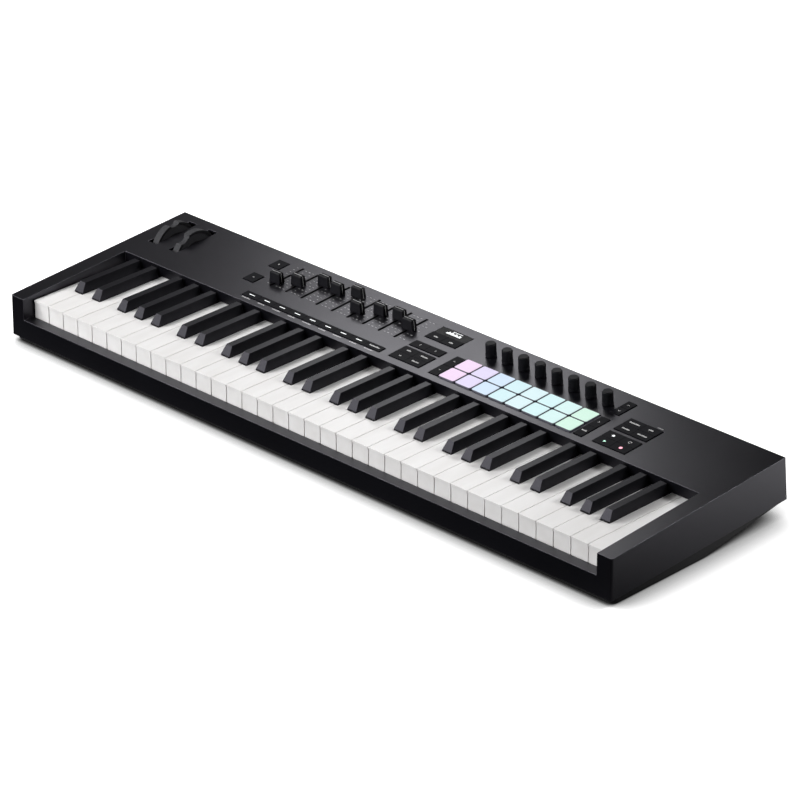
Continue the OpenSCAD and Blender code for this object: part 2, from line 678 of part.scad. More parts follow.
// ---------- faders, encoders, pads and buttons ----------
// A fader cap on a blade through its slot. A groove over its top and down both
// ends leaves a thin raised line that points at the scale.
cap_half_w = 7.9;
cap_half_d = 4.2;
cap_taper = 0.7;
cap_groove = 0.8;
module fader_cap(i) color([0.13, 0.13, 0.14]) seat() {
    y = fader_y + (fader_places[i] - 0.5) * (fader_slot_l - 5);
    low = cap_lifts[0];
    top = cap_lifts[1];
    on_panel(fader_x0 + i * control_pitch, y, 0) {
        difference() {
            intersection() {
                along_x(2 * cap_half_w) polygon([
                    [-cap_half_d, low], [cap_taper - cap_half_d, top - 1], [cap_taper + 1 - cap_half_d, top],
                    [cap_half_d - cap_taper - 1, top], [cap_half_d - cap_taper, top - 1], [cap_half_d, low]]);
                along_y(-2 * cap_half_d, 2 * cap_half_d) polygon([
                    [-cap_half_w, low], [cap_half_w, low],
                    [cap_half_w - cap_taper, top - 1], [cap_half_w - cap_taper - 1, top],
                    [1 + cap_taper - cap_half_w, top], [cap_taper - cap_half_w, top - 1]]);
            }
            for (side = [-1, 1]) {
                box([-8, side * 0.95 - 0.5, top - cap_groove], [8, side * 0.95 + 0.5, top + FACE_EPS]);
                for (end = [-1, 1])
                    box([end * (cap_half_w - 0.6) - 0.8, side * 0.95 - 0.5, low - FACE_EPS],
                        [end * (cap_half_w - 0.6) + 0.8, side * 0.95 + 0.5, top + FACE_EPS]);
            }
        }
        box([-0.8, -2, -9], [0.8, 2, low + 0.5]);
    }
}

// An encoder cap: a plain skirt, a finely ribbed body and a bevelled top
RIBS = 30;
module encoder_cap(i) color([0.09, 0.09, 0.1]) seat()
    on_panel(encoder_x0 + i * control_pitch, encoder_y, 0) difference() {
        union() {
            translate([0, 0, 1]) cylinder(r = encoder_r + 0.3, h = 2.6);
            translate([0, 0, 3.6]) linear_extrude(encoder_h - 4.8)
                polygon([for (k = [0:2 * RIBS - 1]) (encoder_r - (k % 2) * 0.3) *
                         [cos(k * 180 / RIBS), sin(k * 180 / RIBS)]]);
            translate([0, 0, encoder_h - 1.2]) cylinder(r1 = encoder_r - 0.2, r2 = encoder_r - 1.1, h = 1.2);
        }
        cylinder(r = encoder_shaft_r + SHAFT_PLAY, h = 12.2);
    }

module pad_row(r) color([0.75, 0.85, 0.9]) seat()
    for (c = [0:PAD_COLUMNS - 1])
        panel_plate(pads_x0 + (c + 0.5) * control_pitch, pads_y0 + (r + 0.5) * pad_row_pitch,
                    pad_w, pad_d, -pad_drop, pad_rise, pad_corner_r);

button_color = [0.12, 0.12, 0.13];
module fader_buttons() color(button_color) seat() button_caps(fader_block);
module octave_buttons() color(button_color) seat() { button_caps(octave_up); button_caps(octave_down); }
module centre_buttons() color(button_color) seat() {
    button_caps(screen_block);
    button_caps(page_block);
    button_caps(mode_block);
}
module pad_side_buttons() color(button_color) seat() {
    button_caps(scene_block);
    button_caps(launch_block);
    button_caps(bank_block);
}
module transport_buttons() color(button_color) seat() {
    button_caps(edit_block);
    button_caps(transport_block);
}

// ---------- the part ----------
top_case();
base_tray();
rubber_feet();
case_screws();
keybed_frame();
key_pivot_rod();
key_felt();
contact_board();
contact_rubber();
main_board();
tact_switches();
pad_sensor_board();
fader_tracks();
encoder_bodies();
wheel_bracket();
display_module();
io_board_sockets();
sustain_jack();
pitch_wheel();
mod_wheel();
for (i = [1:FADERS]) fader_cap(i - 1);
for (i = [1:ENCODERS]) encoder_cap(i - 1);
pad_row(0);  // pads_front
pad_row(1);  // pads_back
fader_buttons();
octave_buttons();
centre_buttons();
pad_side_buttons();
transport_buttons();
white_keys_low();
black_keys_low();
white_keys_high();
black_keys_high();
for (w = [0:6]) middle_white(w);
for (b = [0:4]) middle_black(b);
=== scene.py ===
"""Looks, lights and camera of the synthesizer keyboard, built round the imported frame."""
import json
import math

import bmesh
import bpy
import numpy as np
from mathutils import Matrix, Vector


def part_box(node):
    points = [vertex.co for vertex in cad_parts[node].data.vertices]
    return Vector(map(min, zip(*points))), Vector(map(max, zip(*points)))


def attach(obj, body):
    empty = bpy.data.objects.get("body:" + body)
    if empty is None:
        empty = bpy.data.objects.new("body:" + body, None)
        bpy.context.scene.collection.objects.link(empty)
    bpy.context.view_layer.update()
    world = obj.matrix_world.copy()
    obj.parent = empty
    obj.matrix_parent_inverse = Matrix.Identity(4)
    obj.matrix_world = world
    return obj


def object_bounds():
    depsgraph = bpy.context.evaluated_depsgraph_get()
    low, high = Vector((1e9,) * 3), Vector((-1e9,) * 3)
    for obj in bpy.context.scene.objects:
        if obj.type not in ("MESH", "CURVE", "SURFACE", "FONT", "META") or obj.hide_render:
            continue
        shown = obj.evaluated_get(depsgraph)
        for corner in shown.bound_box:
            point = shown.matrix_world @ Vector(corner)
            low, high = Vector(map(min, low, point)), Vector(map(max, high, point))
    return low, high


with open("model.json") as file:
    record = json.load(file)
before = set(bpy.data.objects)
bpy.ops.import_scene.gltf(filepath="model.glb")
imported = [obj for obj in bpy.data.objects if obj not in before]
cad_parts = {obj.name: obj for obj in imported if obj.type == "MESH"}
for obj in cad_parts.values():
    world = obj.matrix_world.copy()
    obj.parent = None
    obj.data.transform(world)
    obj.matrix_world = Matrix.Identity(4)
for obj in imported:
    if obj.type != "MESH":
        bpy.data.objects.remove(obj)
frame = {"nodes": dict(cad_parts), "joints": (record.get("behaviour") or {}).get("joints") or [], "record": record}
CAD_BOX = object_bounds()
NODES = frame["nodes"]
JOINTS = {j["name"]: j for j in frame["joints"]}
MM = 0.001

# ---------------------------------------------------------------- the panel's own frame
X = Vector((1, 0, 0))
N = Vector(JOINTS["encoder_1_turn"]["axis"]).normalized()   # square to the panel
U = N.cross(X)                                              # up the panel, towards the back
P0 = Vector(JOINTS["encoder_1_turn"]["pos_m"])              # a point on the panel


def on_panel(x, u, lift=0.0):
    """The point at x, u along the panel from the encoders' line, and lift above it, in metres."""
    return Vector((x, P0.y, P0.z)) + U * u + N * lift


def corners(node):
    """A node's vertices as x, u, lift."""
    co = np.empty(len(NODES[node].data.vertices) * 3)
    NODES[node].data.vertices.foreach_get("co", co)
    co = co.reshape(-1, 3)
    from_p0 = co - np.array(P0)
    return np.stack([co[:, 0], from_p0 @ np.array(U), from_p0 @ np.array(N)], axis=1)


def islands(node):
    """Each loose part of a node as (low, high) corners in x, u, lift, from left to right."""
    mesh = NODES[node].data
    co = corners(node)
    _, same = np.unique(np.round(co, 6), axis=0, return_inverse=True)
    same = same.reshape(-1)
    label = np.arange(same.max() + 1)
    tri = same[np.array([list(p.vertices) for p in mesh.polygons])]
    while True:
        low = label[tri].min(axis=1)
        new = label.copy()
        for k in range(3):
            np.minimum.at(new, tri[:, k], low)
        new = new[new]
        if (new == label).all():
            break
        label = new
    group = label[same]
    out = [(co[group == g].min(axis=0), co[group == g].max(axis=0)) for g in np.unique(group)]
    return sorted(out, key=lambda b: (round(b[0][0], 4), round(b[0][1], 4)))


# ---------------------------------------------------------------- material helpers
NOISE_SPAN = (0.3, 0.7)     # a noise texture mostly stays within these values


def material(name):
    made = bpy.data.materials.new(name)
    made.use_nodes = True
    tree = made.node_tree
    return made, tree, tree.nodes["Principled BSDF"]


def place(tree, stretch=(1, 1, 1)):
    """Object coordinates in metres, stretched."""
    coords = tree.nodes.new("ShaderNodeTexCoord")
    mapping = tree.nodes.new("ShaderNodeMapping")
    mapping.inputs["Scale"].default_value = stretch
    tree.links.new(coords.outputs["Object"], mapping.inputs["Vector"])
    return mapping.outputs["Vector"]


def noise(tree, where, scale, detail=2.0, roughness=0.5):
    node = tree.nodes.new("ShaderNodeTexNoise")
    node.inputs["Scale"].default_value = scale
    node.inputs["Detail"].default_value = detail
    node.inputs["Roughness"].default_value = roughness
    tree.links.new(where, node.inputs["Vector"])
    return node.outputs["Fac"]


def spread(tree, fac, low, high, out_low, out_high):
    """fac from low..high mapped to out_low..out_high, held at the ends."""
    node = tree.nodes.new("ShaderNodeMapRange")
    tree.links.new(fac, node.inputs["Value"])
    limits = {"From Min": low, "From Max": high, "To Min": out_low, "To Max": out_high}
    for socket, value in limits.items():
        node.inputs[socket].default_value = value
    return node.outputs["Result"]


def ramp(tree, fac, stops, constant=False):
    node = tree.nodes.new("ShaderNodeValToRGB")
    node.color_ramp.interpolation = "CONSTANT" if constant else "LINEAR"
    elements = node.color_ramp.elements
    while len(elements) < len(stops):
        elements.new(0.5)
    for element, (at, color) in zip(elements, stops):
        element.position = at
        element.color = (*color, 1)
    tree.links.new(fac, node.inputs["Fac"])
    return node.outputs["Color"]


def over_noise(tree, fac, low, high):
    """A value from low to high over the part of its range that a noise mostly stays in."""
    return spread(tree, fac, *NOISE_SPAN, low, high)


def two_tone(tree, fac, dark, light, span=NOISE_SPAN):
    return ramp(tree, fac, list(zip(span, (dark, light))))


def axes(tree, where):
    """The X, Y and Z outputs of a vector."""
    split = tree.nodes.new("ShaderNodeSeparateXYZ")
    tree.links.new(where, split.inputs["Vector"])
    return split.outputs


def blend(tree, fac, a, b):
    """Colour a where fac is 0 and b where it is 1; each is a plain colour or an output."""
    mix = tree.nodes.new("ShaderNodeMix")
    mix.data_type = "RGBA"
    tree.links.new(fac, mix.inputs["Factor"])
    for name, color in (("A", a), ("B", b)):
        if isinstance(color, tuple):
            mix.inputs[name].default_value = (*color, 1)
        else:
            tree.links.new(color, mix.inputs[name])
    return mix.outputs["Result"]


def calc(tree, what, a, b=0.0):
    node = tree.nodes.new("ShaderNodeMath")
    node.operation = what
    for i, value in enumerate((a, b)):
        if isinstance(value, (int, float)):
            node.inputs[i].default_value = value
        else:
            tree.links.new(value, node.inputs[i])
    return node.outputs[0]


def bump(tree, bsdf, height, strength, distance, under=None):
    node = tree.nodes.new("ShaderNodeBump")
    node.inputs["Strength"].default_value = strength
    node.inputs["Distance"].default_value = distance
    tree.links.new(height, node.inputs["Height"])
    if under is not None:
        tree.links.new(under, node.inputs["Normal"])
    tree.links.new(node.outputs["Normal"], bsdf.inputs["Normal"])
    return node.outputs["Normal"]


def tone(color, factor):
    return tuple(c * factor for c in color)


def plastic(name, color, roughness, grain=0.25, grain_scale=2600, vary=0.12, specular=0.5,
            tint=(1, 1, 1), front=1.0):
    """Moulded plastic: a fine spark-eroded grain, with slow drifts of tone and gloss. Faces that
    look to the front keep only the share `front` of their gloss. This share is not physical: it
    was set by comparing the case's front wall with the photograph."""
    made, tree, bsdf = material(name)
    where = place(tree)
    slow = noise(tree, where, scale=9, detail=4, roughness=0.55)
    tree.links.new(two_tone(tree, slow, tone(color, 1 - vary), tone(color, 1 + vary)),
                   bsdf.inputs["Base Color"])
    fine = noise(tree, where, scale=grain_scale, detail=3, roughness=0.6)
    mixed = calc(tree, "ADD", calc(tree, "MULTIPLY", slow, 0.6), calc(tree, "MULTIPLY", fine, 0.4))
    tree.links.new(over_noise(tree, mixed, roughness - 0.04, roughness + 0.04),
                   bsdf.inputs["Roughness"])
    bsdf.inputs["Specular IOR Level"].default_value = specular
    if front != 1.0:
        shape = tree.nodes.new("ShaderNodeNewGeometry")
        towards_back = axes(tree, shape.outputs["Normal"])["Y"]
        tree.links.new(spread(tree, towards_back, -0.95, -0.75, specular * front, specular),
                       bsdf.inputs["Specular IOR Level"])
    bsdf.inputs["Specular Tint"].default_value = (*tint, 1)
    swell = noise(tree, where, scale=55, detail=2, roughness=0.5)
    wavy = bump(tree, bsdf, swell, strength=0.06, distance=0.0004)
    bump(tree, bsdf, fine, grain, 0.00006, under=wavy)
    return made


def metal(name, color, roughness, along):
    """Brushed metal with its scratches along one axis."""
    made, tree, bsdf = material(name)
    stretch = tuple(0.02 if i == along else 1 for i in range(3))
    scratch = noise(tree, place(tree, stretch), scale=900, detail=4, roughness=0.65)
    tree.links.new(two_tone(tree, scratch, tone(color, 0.78), color), bsdf.inputs["Base Color"])
    tree.links.new(over_noise(tree, scratch, roughness - 0.08, roughness + 0.1),
                   bsdf.inputs["Roughness"])
    bsdf.inputs["Metallic"].default_value = 1
    bump(tree, bsdf, scratch, strength=0.2, distance=0.00005)
    return made


LACQUER = {"Color1": (0.012, 0.10, 0.045), "Color2": (0.010, 0.085, 0.04),
           "Mortar": (0.03, 0.20, 0.08)}
SOLDER = (0.55, 0.50, 0.33)
SOCKET_BLACK = (0.012, 0.012, 0.013)


def circuit(name, black_above=None):
    """A printed board: green lacquer over fine copper tracks, with pale pads. What stands on the
    board, above the height black_above in metres, is black plastic."""
    made, tree, bsdf = material(name)
    where = place(tree, (1, 1, 0.15))
    dots = tree.nodes.new("ShaderNodeTexVoronoi")
    dots.distance = "MANHATTAN"
    dots.feature = "F1"
    dots.inputs["Scale"].default_value = 260
    tree.links.new(where, dots.inputs["Vector"])
    from_dot = dots.outputs["Distance"]
    track = tree.nodes.new("ShaderNodeTexBrick")
    track.inputs["Scale"].default_value = 160
    track.inputs["Mortar Size"].default_value = 0.02
    for socket, color in LACQUER.items():
        track.inputs[socket].default_value = (*color, 1)
    tree.links.new(where, track.inputs["Vector"])
    color = blend(tree, spread(tree, from_dot, 0.05, 0.10, 1, 0), track.outputs["Color"], SOLDER)
    if black_above is not None:
        above = calc(tree, "GREATER_THAN", axes(tree, place(tree))["Z"], black_above)
        color = blend(tree, above, color, SOCKET_BLACK)
    tree.links.new(color, bsdf.inputs["Base Color"])
    tree.links.new(spread(tree, from_dot, 0, 0.6, 0.28, 0.42), bsdf.inputs["Roughness"])
    bump(tree, bsdf, track.outputs["Fac"], strength=0.3, distance=0.00005)
    return made


def felt_cloth(name, color):
    made, tree, bsdf = material(name)
    fibre = noise(tree, place(tree, (1, 1.6, 1)), scale=1500, detail=6, roughness=0.75)
    tree.links.new(two_tone(tree, fibre, tone(color, 0.5), tone(color, 1.35), span=(0.25, 0.75)),
                   bsdf.inputs["Base Color"])
    bsdf.inputs["Roughness"].default_value = 0.95
    bsdf.inputs["Sheen Weight"].default_value = 0.6
    bump(tree, bsdf, fibre, strength=0.8, distance=0.0004)
    return made


def white_plastic(name):
    """Key plastic: nearly white, semi-gloss, with a faint flow pattern under the polish."""
    made, tree, bsdf = material(name)
    where = place(tree)
    flow = noise(tree, place(tree, (1, 0.25, 1)), scale=60, detail=3, roughness=0.5)
    tree.links.new(two_tone(tree, flow, (0.80, 0.785, 0.775), (0.86, 0.85, 0.845)),
                   bsdf.inputs["Base Color"])
    haze = noise(tree, where, scale=700, detail=3, roughness=0.6)
    tree.links.new(over_noise(tree, haze, 0.36, 0.44), bsdf.inputs["Roughness"])
    bsdf.inputs["Coat Weight"].default_value = 0.08
    bsdf.inputs["Coat Roughness"].default_value = 0.25
    swell = noise(tree, where, scale=90, detail=2, roughness=0.5)
    bump(tree, bsdf, swell, strength=0.05, distance=0.0003)
    return made


PAD_GLOW = 0.54
PAD_BODY = 0.42                     # how much of its tint shows in the silicone itself
# The darker grey of the pads' skirts is painted shade along their sides
PAD_SKIRT_SHADE = (0.11, 0.11, 0.14)
PAD_TINTS = [(0.94, 0.72, 0.96), (0.79, 0.72, 0.97), (0.67, 0.82, 0.99), (0.68, 0.92, 0.97),
             (0.74, 0.94, 0.98), (0.70, 0.96, 0.98), (0.72, 0.97, 0.95), (0.70, 0.98, 0.83)]


def backlit_pads(name):
    """Milky silicone that glows: each column of pads has its own tint, dimmer at its sides."""
    made, tree, bsdf = material(name)
    boxes = islands("pads_front") + islands("pads_back")
    left = min(b[0][0] for b in boxes)
    right = max(b[1][0] for b in boxes)
    columns = len(PAD_TINTS)
    size = max(b[1][0] - b[0][0] for b in boxes)
    pitch = (right - left - size) / (columns - 1)
    coords = tree.nodes.new("ShaderNodeTexCoord")
    from_left = calc(tree, "SUBTRACT", axes(tree, coords.outputs["Object"])["X"],
                     left - (pitch - size) / 2)
    column = calc(tree, "DIVIDE", from_left, pitch * columns)
    tint = ramp(tree, column, [(i / columns, c) for i, c in enumerate(PAD_TINTS)], constant=True)
    # How far from the middle of the column, which is 0, to its edge, which is 0.5
    within = calc(tree, "FRACT", calc(tree, "MULTIPLY", column, columns))
    across = calc(tree, "ABSOLUTE", calc(tree, "SUBTRACT", within, 0.5))
    edge = spread(tree, across, 0.30, 0.48, 1.0, 0.90)
    speck = noise(tree, place(tree), scale=2200, detail=3, roughness=0.7)
    # Only the flat top glows; the skirt below it is a darker grey, painted shade along the pads' sides
    facing = tree.nodes.new("ShaderNodeVectorMath")
    facing.operation = "DOT_PRODUCT"
    shape = tree.nodes.new("ShaderNodeNewGeometry")
    tree.links.new(shape.outputs["Normal"], facing.inputs[0])
    facing.inputs[1].default_value = N
    flat = spread(tree, facing.outputs["Value"], 0.55, 0.9, 0.0, 1.0)
    glow = calc(tree, "MULTIPLY", calc(tree, "MULTIPLY", edge, flat),
                over_noise(tree, speck, 0.94, 1.06))
    body = ramp(tree, column, [(i / columns, tone(c, PAD_BODY)) for i, c in enumerate(PAD_TINTS)],
                constant=True)
    tree.links.new(blend(tree, flat, PAD_SKIRT_SHADE, body), bsdf.inputs["Base Color"])
    tree.links.new(tint, bsdf.inputs["Emission Color"])
    tree.links.new(calc(tree, "MULTIPLY", glow, PAD_GLOW), bsdf.inputs["Emission Strength"])
    tree.links.new(over_noise(tree, speck, 0.42, 0.55), bsdf.inputs["Roughness"])
    bump(tree, bsdf, speck, strength=0.25, distance=0.0001)
    return made


RIM_MARGIN = 0.4 * MM       # the rim stops this far from the wheel's sides
RIM_DEPTH = 12.5 * MM       # and this far below its edge
RIB_TURN = 190.0            # how fast the ribs follow each other, per radian
WHEEL_DARK, WHEEL_PALE = (0.004, 0.004, 0.0045), (0.050, 0.050, 0.054)


def wheel_plastic(name, node, joint):
    """A wheel: fine ribs across its soft grey rim, smooth black sides."""
    made, tree, bsdf = material(name)
    centre = Vector(JOINTS[joint]["pos_m"])
    low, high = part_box(node)
    radius = max((Vector((0, v.co.y, v.co.z)) - Vector((0, centre.y, centre.z))).length
                 for v in NODES[node].data.vertices)
    coords = tree.nodes.new("ShaderNodeTexCoord")
    shift = tree.nodes.new("ShaderNodeVectorMath")
    shift.operation = "SUBTRACT"
    shift.inputs[1].default_value = centre
    tree.links.new(coords.outputs["Object"], shift.inputs[0])
    x, y, z = (axes(tree, shift.outputs["Vector"])[k] for k in "XYZ")
    from_axis = calc(tree, "SQRT", calc(tree, "ADD", calc(tree, "MULTIPLY", y, y),
                                        calc(tree, "MULTIPLY", z, z)))
    half = (high.x - low.x) / 2
    tread = calc(tree, "LESS_THAN", calc(tree, "ABSOLUTE", x), half - RIM_MARGIN)
    rim = calc(tree, "MULTIPLY", tread, calc(tree, "GREATER_THAN", from_axis, radius - RIM_DEPTH))
    angle = calc(tree, "ARCTAN2", y, z)
    ribs = calc(tree, "SINE", calc(tree, "MULTIPLY", angle, RIB_TURN))
    fine = noise(tree, place(tree), scale=2600, detail=3, roughness=0.6)
    ribbed = calc(tree, "ADD", calc(tree, "MULTIPLY", ribs, 0.35), fine)
    grey = spread(tree, ribbed, 0.1, 0.9, 0.75, 1.15)
    shade = calc(tree, "ADD", calc(tree, "MULTIPLY", rim, 0.75), 0.25)
    tree.links.new(two_tone(tree, calc(tree, "MULTIPLY", grey, shade), WHEEL_DARK, WHEEL_PALE,
                            span=(0.0, 1.0)), bsdf.inputs["Base Color"])
    tree.links.new(over_noise(tree, fine, 0.44, 0.56), bsdf.inputs["Roughness"])
    bsdf.inputs["Specular IOR Level"].default_value = 0.12
    bump(tree, bsdf, calc(tree, "MULTIPLY", ribs, rim), strength=0.5, distance=0.00015)
    return made


def screen_glass(name):
    made, tree, bsdf = material(name)
    smear = noise(tree, place(tree), scale=180, detail=4, roughness=0.6)
    tree.links.new(two_tone(tree, smear, (0.002, 0.002, 0.0025), (0.004, 0.004, 0.005)),
                   bsdf.inputs["Base Color"])
    tree.links.new(over_noise(tree, smear, 0.22, 0.32), bsdf.inputs["Roughness"])
    bsdf.inputs["Specular IOR Level"].default_value = 0.03
    bump(tree, bsdf, smear, strength=0.02, distance=0.0001)
    return made


def print_ink(name, color, glow=0.0):
    """Screen-printed ink: slightly broken by the grain under it."""
    made, tree, bsdf = material(name)
    grain = noise(tree, place(tree), scale=3200, detail=3, roughness=0.6)
    tree.links.new(two_tone(tree, grain, tone(color, 0.85), color), bsdf.inputs["Base Color"])
    bsdf.inputs["Roughness"].default_value = 0.6
    if glow:
        bsdf.inputs["Emission Color"].default_value = (*color, 1)
        bsdf.inputs["Emission Strength"].default_value = glow
    bump(tree, bsdf, grain, strength=0.2, distance=0.00003)
    return made


COOL = (1.0, 0.97, 1.12)     # the case's gloss is a touch violet

MATERIALS = {
    "case_plastic": plastic("case_plastic", (0.0026, 0.0025, 0.0036), 0.35, grain=0.30, tint=COOL,
                            front=0.38),
    "base_plastic": plastic("base_plastic", (0.006, 0.006, 0.007), 0.52, grain=0.35, specular=0.35),
    "foot_rubber": plastic("foot_rubber", (0.008, 0.008, 0.008), 0.75, grain=0.5, specular=0.3),
    "screw_steel": metal("screw_steel", (0.06, 0.06, 0.065), 0.38, 0),
    "chassis_plastic": plastic("chassis_plastic", (0.24, 0.25, 0.27), 0.5, grain=0.4, vary=0.08),
    "rod_steel": metal("rod_steel", (0.62, 0.62, 0.64), 0.25, 0),
    "felt": felt_cloth("felt", (0.30, 0.02, 0.03)),
    "circuit_board": circuit("circuit_board"),
    "contact_silicone": plastic("contact_silicone", (0.20, 0.21, 0.23), 0.6, grain=0.2, vary=0.06),
    "switch_plastic": plastic("switch_plastic", (0.012, 0.012, 0.012), 0.45, grain=0.2),
    "plated_steel": metal("plated_steel", (0.55, 0.56, 0.58), 0.3, 1),
    "screen_glass": screen_glass("screen_glass"),
    "socket_plastic": plastic("socket_plastic", (0.012, 0.012, 0.013), 0.4, grain=0.2),
    "white_key": white_plastic("white_key"),
    "black_key": plastic("black_key", (0.0048, 0.0048, 0.0062), 0.40, grain=0.2, grain_scale=1900,
                         specular=0.27, tint=COOL),
    "cap_plastic": plastic("cap_plastic", (0.0068, 0.0068, 0.0088), 0.50, grain=0.25,
                           specular=0.12),
    "pad_silicone": backlit_pads("pad_silicone"),
    "button_rubber": plastic("button_rubber", (0.0055, 0.0055, 0.0075), 0.60, grain=0.4,
                             specular=0.10),
}
# The rounded edges of the case, set paler and glossier by comparison with the photograph: the paler colour is a
# painted highlight along them
PAINTED_EDGE_HIGHLIGHT = plastic("case_edge_painted_highlight", (0.030, 0.0295, 0.034), 0.34, grain=0.1, specular=0.8, tint=COOL)
WHEELS = {n: wheel_plastic("wheel_" + n, n, n + "_turn") for n in ("pitch_wheel", "mod_wheel")}
INK_WHITE = print_ink("ink_white", (0.80, 0.80, 0.80))
# Black for the painted shade on the fader slots' edges
SLOT_SHADE_BLACK = print_ink("slot_shade_black", (0.003, 0.003, 0.0035))
INK_GREY = print_ink("ink_grey", (0.42, 0.42, 0.425))
INK_PALE = print_ink("ink_pale", (0.70, 0.70, 0.71))
LIT_WHITE = print_ink("lit_white", (0.85, 0.87, 0.88), 0.8)
LIT_GREEN = print_ink("lit_green", (0.55, 0.95, 0.75), 0.8)
LIT_RED = print_ink("lit_red", (0.95, 0.42, 0.52), 0.8)

# ---------------------------------------------------------------- finish of the CAD nodes
# How wide the moulded edges are rounded, in millimetres: by node, or else by material slot
EDGES = {"top_case": 0.30, "base_tray": 0.4, "rubber_feet": 0.4, "sustain_jack": 0.2,
         "wheel_bracket": 0.3, "pads_front": 0.45, "pads_back": 0.45, "pitch_wheel": 0.35,
         "mod_wheel": 0.35, "display_module": 0.12}
SLOT_EDGES = {"white_key": 0.4, "black_key": 0.45, "cap_plastic": 0.25, "button_rubber": 0.2}
WELD_REACH = 0.001 * MM
FLAT_WITHIN = math.radians(0.5)
SHARP_BEYOND = math.radians(28)


def soften(piece, width):
    """Joins split corners, clears the flat faces' triangles, then rounds the edges."""
    weld = piece.modifiers.new("weld", "WELD")
    weld.merge_threshold = WELD_REACH
    flat = piece.modifiers.new("flat", "DECIMATE")
    flat.decimate_type = "DISSOLVE"
    flat.angle_limit = FLAT_WITHIN
    bevel = piece.modifiers.new("edges", "BEVEL")
    bevel.width = width * MM
    bevel.segments = 2
    bevel.limit_method = "ANGLE"
    bevel.angle_limit = SHARP_BEYOND
    bevel.use_clamp_overlap = True
    shade = piece.modifiers.new("shade", "WEIGHTED_NORMAL")
    shade.keep_sharp = False
    shade.weight = 80
    return bevel


SOCKET_BOARD_TOP = 34.9 * MM
SPECIAL = {"io_board_sockets": circuit("socket_board", SOCKET_BOARD_TOP), **WHEELS}

for entry in frame["record"]["subparts"]:
    node, slot = entry["node"], entry["material_slot"]
    piece = NODES[node]
    piece.data.materials.clear()
    piece.data.materials.append(SPECIAL.get(node) or MATERIALS[slot])
    width = EDGES.get(node, SLOT_EDGES.get(slot, 0))
    bevel = soften(piece, width) if width else None
    if node == "top_case":
        # Clamped, these edges came out too thin to show. Unclamped, the width has to stay
        # under 0.35 mm, which is half the thinnest wall.
        # The bevels take the paler edge material, which paints a highlight along the case's edges
        piece.data.materials.append(PAINTED_EDGE_HIGHLIGHT)
        bevel.material = 1
        bevel.use_clamp_overlap = False


# ---------------------------------------------------------------- printed and lit marks
RING = ((-1, -1), (1, -1), (1, 1), (-1, 1))     # the signs of a box's corners, in order


def rect(cx, cu, w, d):
    return [(cx + sx * w / 2, cu + su * d / 2) for sx, su in RING]


def ngon(cx, cu, r, sides, turn=0):
    """A regular outline whose first corner is at turn degrees."""
    spots = [math.radians(turn + 360 / sides * k) for k in range(sides)]
    return [(cx + r * math.cos(t), cu + r * math.sin(t)) for t in spots]


def disc(cx, cu, r):
    return ngon(cx, cu, r, 24)


ARC_QUADS = 18


def arc(cx, cu, r, width, start, end):
    """A bent bar, as quads, from start to end in degrees."""
    out = []
    for k in range(ARC_QUADS):
        a = math.radians(start + (end - start) * k / ARC_QUADS)
        b = math.radians(start + (end - start) * (k + 1) / ARC_QUADS)
        out.append([(cx + (r + s * width / 2) * math.cos(t), cu + (r + s * width / 2) * math.sin(t))
                    for s, t in ((-1, a), (1, a), (1, b), (-1, b))])
    return out


def stroke(x0, u0, x1, u1, width):
    d = Vector((x1 - x0, u1 - u0)).normalized() * width / 2
    return [(x0 + d.y, u0 - d.x), (x1 + d.y, u1 - d.x), (x1 - d.y, u1 + d.x), (x0 - d.y, u0 + d.x)]


BACK, LEFT, FRONT, RIGHT = 0, 90, 180, 270


def chevron(cx, cu, size, turn):
    """A pointer made of two strokes; turn says where it points."""
    out = []
    for side in (-1, 1):
        p = Vector((side * size / 2, -size / 4))
        q = Vector((0, size / 4))
        spin = Matrix.Rotation(math.radians(turn), 2)
        p, q = spin @ p, spin @ q
        out.append(stroke(cx + p.x, cu + p.y, cx + q.x, cu + q.y, size * 0.16))
    return out


def triangle(cx, cu, r, turn=0):
    return ngon(cx, cu, r, 3, turn)


CAPTION_TALLER, CAPTION_WIDER = 1.45, 1.15      # so that they read as large as the photo's words
BAR_STEP, BAR_WIDTH = 0.62, 0.72                # of the caption's height, and of the step
BAR_HEIGHTS = (1.0, 0.72, 0.72, 1.0, 0.72, 0.9, 0.72)


def caption(cx, cu, w, h):
    """Greeked print: a row of little bars that stands for a word, with no letters in it."""
    h *= CAPTION_TALLER
    w *= CAPTION_WIDER
    step = h * BAR_STEP
    count = max(2, int(w / step))
    out = []
    for k in range(count):
        tall = h * BAR_HEIGHTS[(k * 3 + count) % len(BAR_HEIGHTS)]
        out.append(rect(cx - w / 2 + (k + 0.5) * w / count, cu - (h - tall) / 2,
                        step * BAR_WIDTH, tall))
    return out


def new_piece(name, made, ink):
    """Closes a bmesh into an object of one material, in the scene."""
    bmesh.ops.recalc_face_normals(made, faces=made.faces)
    mesh = bpy.data.meshes.new(name)
    made.to_mesh(mesh)
    made.free()
    piece = bpy.data.objects.new(name, mesh)
    bpy.context.scene.collection.objects.link(piece)
    mesh.materials.append(ink)
    return piece


def plates(name, shapes, lift, body, ink, thick=0.06):
    """Thin raised plates on the panel or on a cap, as one piece: sizes in metres, but thick in
    millimetres."""
    made = bmesh.new()
    for shape in shapes:
        ring = [made.verts.new(on_panel(x, u, lift - thick * MM)) for x, u in shape]
        top = [made.verts.new(on_panel(x, u, lift + thick * MM)) for x, u in shape]
        count = len(shape)
        made.faces.new(top)
        made.faces.new(ring[::-1])
        for k in range(count):
            made.faces.new([ring[k], ring[(k + 1) % count], top[(k + 1) % count], top[k]])
    piece = new_piece(name, made, ink)
    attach(piece, body)


def cap_print(name, shapes, lift, body, ink):
    plates(name, shapes, lift, body, ink)


def panel_print(name, shapes, ink):
    plates(name, shapes, 0, "case", ink, thick=0.02)


